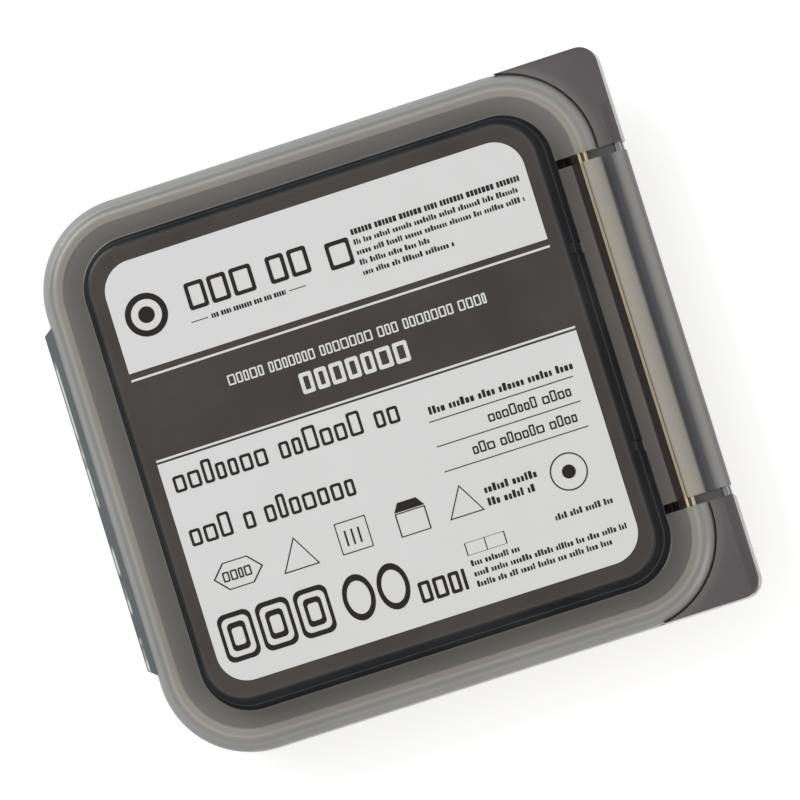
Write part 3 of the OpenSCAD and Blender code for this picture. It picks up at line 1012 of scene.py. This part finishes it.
def label_ink(bm):
    """Everything printed dark on the white fields: blank text lines, plain symbols and rules."""
    def words(*args, **more):
        blank_words(bm, *args, low=FILM_TOP, high=INK_TOP, **more)

    def line(u0, v0, u1, v1):
        stamp(bm, [(u0, v0), (u1, v0), (u1, v1), (u0, v1)], FILM_TOP, INK_TOP)

    def outlined(outline, share):
        hollow_stamp(bm, outline, inner_copy(outline, share), FILM_TOP, INK_TOP)

    # upper field: a plain roundel, a heading, a thin line under it, a block and an address
    outlined(regular(3.7, 40.8, 2.35, 40), 0.72)
    stamp(bm, regular(3.7, 40.8, 0.9, 32), FILM_TOP, INK_TOP)
    words(8.4, 39.7, 13.8, 3.0, capitals=True, letter=0.72, stroke=0.42)
    line(8.1, 38.45, 10.0, 38.53)
    words(10.4, 38.25, 8.4, 0.5, capitals=True)
    line(19.2, 38.45, 21.1, 38.53)
    outlined(round_rect(24.2, 39.1, 26.9, 42.1, (0.3,) * 4), 0.70)
    words(27.4, 42.1, 19.0, 0.62, capitals=True, letter=0.5)
    for row, width in enumerate((18.6, 18.9, 7.8, 10.4)):
        words(27.4, 41.0 - row * 1.13, width, 0.62, letter=0.34)

    # lower field: two large lines and a small table
    for u, v, width in ((1.1, 21.5, 11.4), (13.1, 21.5, 13.6), (1.1, 15.5, 7.9), (9.6, 15.5, 11.0)):
        words(u, v, width, 2.6, letter=0.5, stroke=0.30)
    words(29.7, 21.2, 16.2, 0.85, letter=0.40)
    for v in (20.4, 17.65, 14.85):
        line(29.4, v, 45.6, v + 0.1)
    words(35.6, 18.5, 9.5, 1.2, letter=0.6, stroke=0.17)
    words(33.0, 15.7, 12.1, 1.2, letter=0.6, stroke=0.17)

    # a row of plain outlined symbols
    outlined(regular(4.95, 11.4, 2.8, 6, 0, 0.62), 0.93)
    words(3.2, 10.8, 3.5, 1.1, letter=0.6, capitals=True, stroke=0.16)
    outlined(regular(11.7, 10.9, 2.35, 3, math.pi / 2), 0.90)
    outlined(round_rect(16.3, 9.7, 19.8, 13.2, (0.1,) * 4), 0.94)
    for k in range(3):
        line(17.1 + 0.75 * k, 10.5, 17.3 + 0.75 * k, 12.2)
    outlined(round_rect(22.9, 9.6, 26.3, 12.2, (0.1,) * 4), 0.92)
    stamp(bm, [(22.9, 12.3), (26.3, 12.3), (25.6, 13.3), (23.5, 13.3)], FILM_TOP, INK_TOP)
    outlined(regular(30.4, 10.9, 2.25, 3, math.pi / 2), 0.90)
    words(32.9, 11.4, 6.1, 0.85, letter=0.36)
    words(32.9, 10.0, 5.3, 0.85, letter=0.36)
    outlined(regular(42.15, 10.9, 2.05, 40), 0.93)
    stamp(bm, regular(42.15, 10.9, 0.75, 24), FILM_TOP, INK_TOP)

    # bottom row: large plain marks and a small address
    for k in range(3):
        outlined(round_rect(1.1 + 4.3 * k, 2.3, 4.9 + 4.3 * k, 7.6, (0.9,) * 4), 0.80)
        outlined(round_rect(2.0 + 4.3 * k, 3.4, 4.0 + 4.3 * k, 6.5, (0.5,) * 4), 0.62)
    for k in range(2):
        outlined(regular(16.6 + 3.9 * k, 4.95, 1.75, 32, 0, 1.45), 0.72)
    words(23.0, 2.2, 5.6, 2.3, capitals=True, letter=0.55, stroke=0.36)
    outlined(round_rect(29.1, 5.6, 33.6, 7.0, (0.08,) * 4), 0.95)
    line(31.3, 5.6, 31.4, 7.0)
    words(39.3, 6.3, 6.4, 0.7, letter=0.34)
    for row, width in enumerate((5.4, 17.1, 15.5)):
        words(29.2, 4.4 - row * 1.15, width, 0.66, letter=0.34)


def make_label():
    """The print on the panel: white fields, rules and heading, and the dark print on the white fields."""
    r = LABEL_R
    bm = bmesh.new()
    for outline in (
        round_rect(0, UPPER_FROM, LABEL_W, LABEL_L, (0, 0, r, r), 16),
        round_rect(0, 0, LABEL_W, LOWER_TO, (r, r, 0, 0), 16),
        *[round_rect(0, v - RULE_HALF, LABEL_W, v + RULE_HALF, (0,) * 4) for v in RULES],
    ):
        stamp(bm, outline, PANEL_FACE, FILM_TOP)
    blank_words(bm, 10.0, 30.75, 29.2, 1.15, PANEL_FACE, FILM_TOP, 0.17, True, 0.62)
    blank_words(bm, 17.4, 27.4, 13.0, 2.3, PANEL_FACE, FILM_TOP, 0.42, True, 0.66)
    fields = new_object("label_fields", bm)
    finish_piece(fields, printed_white("label_white"), "lid", "label_print", "label_film")
    bm = bmesh.new()
    label_ink(bm)
    ink = new_object("label_ink", bm)
    ink.data.materials.append(printed_ink("label_dark", (0.014, 0.011, 0.010)))
    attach(ink, "lid")


# ---------------------------------------------------------------- the tray and the files

FILES = range(1, 7)

# Two files of each of three kinds: length below the handle, tip radius and stopper colour.
FILE_KIND = {1: 0, 2: 0, 3: 1, 4: 1, 5: 2, 6: 2}
WORKING = (16.0, 18.0, 22.0)
TIP_R = (0.15, 0.125, 0.10)
STOPPER_COLOURS = ((0.03, 0.13, 0.50), (0.50, 0.03, 0.03), (0.75, 0.52, 0.03))

# The handles run along Y, from the latch end down to the nose.
HANDLE_LOW, HANDLE_HIGH = box_mm("file_1_handle")
HANDLE_END = HANDLE_HIGH.y
NOSE = HANDLE_LOW.y
SHANK_R = (HANDLE_HIGH.x - HANDLE_LOW.x) / 2
SHAFT_R = 0.6
GROOVE_R = 0.85
FLAT_LENGTH = 5
FLAT_Z = 0.75
RING_FROM = 6.8
RING_STEP = 1.5
RING_W = 0.8

TROUGH = (13.5, 20.5)


def file_axis(i):
    """A file's place across the case and its height."""
    low, high = box_mm(f"file_{i}_blade")
    return (low.x + high.x) / 2, (low.z + high.z) / 2


def trench(x, z, r, low, high):
    """A cutter along Y with a round floor."""
    over = TRAY_HIGH.z + 2
    outline = arc(x, z, r, math.pi, math.pi, 20) + [(x + r, over), (x - r, over)]
    return extruded("trench", outline, 1, low, high)


def make_tray():
    """The moulded tray: a cradle and a stopper's run for each file, a pocket for the foam and a trough."""
    half = (TRAY_HIGH.x - TRAY_LOW.x) / 2
    corner = 6.2
    tray = square_loft("tray", [
        (15.0, 2.0, TRAY_LOW.z, 0),
        (half, corner, TRAY_LOW.z, 0.3),
        (half, corner, TRAY_HIGH.z, 0.45),
        (15.0, 2.0, TRAY_HIGH.z, 0),
    ])
    cuts = []
    for i in FILES:
        x, z = file_axis(i)
        cuts += [trench(x, z, SHANK_R + 0.145, NOSE - 1, TROUGH[0] + 1),
                 trench(x, z, 2.3, -6.2, NOSE),
                 trench(x, z, 0.9, -8.0, -5.2)]
    low, high = TRAY_FOAM_LOW, TRAY_FOAM_HIGH
    play, half, over = 0.2, 23, high.z + 2
    cuts.append(block("pocket", (low.x - play, low.y - play, low.z), (high.x + play, high.y + play, over)))
    cuts.append(block("trough", (SHELL_X - half, TROUGH[0], low.z), (SHELL_X + half, TROUGH[1], over)))
    combine(tray, cuts, "DIFFERENCE")
    bevelled(tray, 0.14, 2, 45)
    finish_piece(tray, black_moulding("tray_black"), "base", "tray_black", "file_tray")


def make_tray_foam():
    """The foam strip that holds the tips, with a slot for each."""
    low, high = TRAY_FOAM_LOW, TRAY_FOAM_HIGH
    r = 0.7
    outline = [(low.x, low.z), (low.x, high.z)]
    for i in FILES:
        x, z = file_axis(i)
        outline += [(x - r, high.z), *arc(x, z, r, math.pi, math.pi, 10), (x + r, high.z)]
    outline += [(high.x, high.z), (high.x, low.z)]
    made = extruded("tip_foam", outline, 1, low.y, high.y)
    bevelled(made, 0.12, 2, 45)
    finish_piece(made, foam("tip_foam", (0.035, 0.035, 0.037)), "base", "dark_foam", "tray_foam")


def make_lid_foam():
    """The flat pad under the panel."""
    low, high = LID_FOAM_LOW, LID_FOAM_HIGH
    half = (high.x - low.x) / 2
    corner = 4.0
    pad = square_loft("lid_pad", [
        (12.0, 2.0, high.z, 0),
        (half, corner, high.z, 0.15),
        (half, corner, low.z, 0.35),
        (12.0, 2.0, low.z, 0),
    ])
    finish_piece(pad, foam("lid_foam", (0.030, 0.026, 0.023)), "lid", "dark_foam", "lid_foam")


def make_handle(i, material):
    """A gilt latch handle with its groove, its flat, a seat for each ring and a hollow nose."""
    x, z = file_axis(i)
    end = HANDLE_END
    profile = [(0.25, end, 0), (SHANK_R, end, 0.16), (SHANK_R, end - 1.6, 0.06), (GROOVE_R, end - 1.65, 0.06),
               (GROOVE_R, end - 2.35, 0.06), (SHANK_R, end - 2.4, 0.06)]
    for k in range(FILE_KIND[i] + 1):
        top = end - RING_FROM - RING_STEP * k
        low = top - RING_W
        profile += [(SHANK_R, top, 0.05), (1.0, top, 0.03), (1.0, low, 0.03), (SHANK_R, low, 0.05)]
    bore = SHAFT_R + 0.02
    profile += [(SHANK_R, NOSE + 1.2, 0.25), (GROOVE_R, NOSE, 0.12),
                (bore, NOSE, 0.02), (bore, NOSE + 0.6, 0)]

    def latch(px, pz, y):
        return (px, min(pz, FLAT_Z)) if y > end - FLAT_LENGTH else (px, pz)

    handle = turned(f"handle_{i}", profile, x, z, 56, 3, latch)
    finish_piece(handle, material, f"file_{i}", "handle_gold", f"file_{i}_handle")


def make_rings(i, material):
    """The white bands that tell the file's kind, as one piece."""
    x, z = file_axis(i)
    inner, outer = 1.01, 1.2
    bands = []
    for k in range(FILE_KIND[i] + 1):
        top = HANDLE_END - RING_FROM - RING_STEP * k - 0.01
        low = top - RING_W + 0.02
        profile = [(inner, top, 0.02), (outer, top, 0.08), (outer, low, 0.08), (inner, low, 0.02)]
        bands.append(turned(f"rings_{i}" if k == 0 else "extra", profile, x, z, 48, 3, closed=True))
    first = bands[0]
    bm = bmesh.new()
    for band in bands:
        bm.from_mesh(band.data)
    bm.to_mesh(first.data)
    bm.free()
    for band in bands[1:]:
        bpy.data.objects.remove(band)
    finish_piece(first, material, f"file_{i}", "ring_white", f"file_{i}_rings")


def make_blade(i, material):
    """A round shaft that runs out into a three-fluted twisted working part."""
    x, z = file_axis(i)
    kind = FILE_KIND[i]
    tip = NOSE - WORKING[kind]
    shaft_end = NOSE - 3
    length = shaft_end - tip
    pitch, flutes, flute_depth = 4.2, 3, 0.34
    sides = 30
    loops = [circle_y(x, z, SHAFT_R, y, sides) for y in (NOSE + 3, NOSE + 0.3, shaft_end + 1.0)]
    steps = int(length / 0.11)
    for n in range(steps + 1):
        t = n / steps
        y = shaft_end - t * (length - 0.35)
        full = SHAFT_R + (TIP_R[kind] + 0.02 - SHAFT_R) * t
        depth = flute_depth * min(1, t * 9)
        twist = 2 * math.pi * (t + 0.35 * t * t) * length / pitch
        loop = []
        for k in range(sides):
            angle = 2 * math.pi * k / sides
            wave = 0.5 + 0.5 * math.cos(flutes * (angle - twist))
            r = full * (1 - depth * wave ** 1.6)
            loop.append((x + r * math.cos(angle), y, z + r * math.sin(angle)))
        loops.append(loop)
    loops.append(circle_y(x, z, 0.02, tip + 0.01, sides))
    bm = bmesh.new()
    skin(bm, loops)
    finish_piece(new_object(f"blade_{i}", bm, 40), material, f"file_{i}", "niti", f"file_{i}_blade")


def make_stopper(i, material):
    """A silicone stopper with a notch that shows which way the file is turned."""
    x, z = file_axis(i)
    low, high = box_mm(f"file_{i}_stopper")
    r = (high.x - low.x) / 2
    bore = SHAFT_R + 0.06
    notch_half, notch_depth = 0.38, 0.34

    def notched(px, pz, _):
        if pz > 0 and abs(px) < notch_half and math.hypot(px, pz) > r - 0.5:
            pz -= notch_depth * (1 - (px / notch_half) ** 2)
        return px, pz

    profile = [(bore, high.y, 0.08), (r, high.y, 0.22), (r - 0.04, (low.y + high.y) / 2, 0.3),
               (r, low.y, 0.22), (bore, low.y, 0.08)]
    stopper = turned(f"stopper_{i}", profile, x, z, 96, 4, notched, True)
    finish_piece(stopper, material, f"stopper_{i}", "stopper_silicone", f"file_{i}_stopper")


def make_files():
    """Six files, each with its handle, rings, blade and stopper."""
    gold = turned_metal("handle_gold", (0.83, 0.60, 0.24), 1500, (0.20, 0.38))
    niti = turned_metal("niti", (0.60, 0.60, 0.62), 2600, (0.22, 0.42))
    white = printed_ink("ring_white", (0.72, 0.72, 0.70))
    rubber = [silicone(f"silicone_{k}", colour) for k, colour in enumerate(STOPPER_COLOURS)]
    for i in FILES:
        make_handle(i, gold)
        make_rings(i, white)
        make_blade(i, niti)
        make_stopper(i, rubber[FILE_KIND[i]])


make_camera()
make_stage()
make_lid()
make_base()
make_pin()
make_label()
make_lid_foam()
make_tray()
make_tray_foam()
make_files()
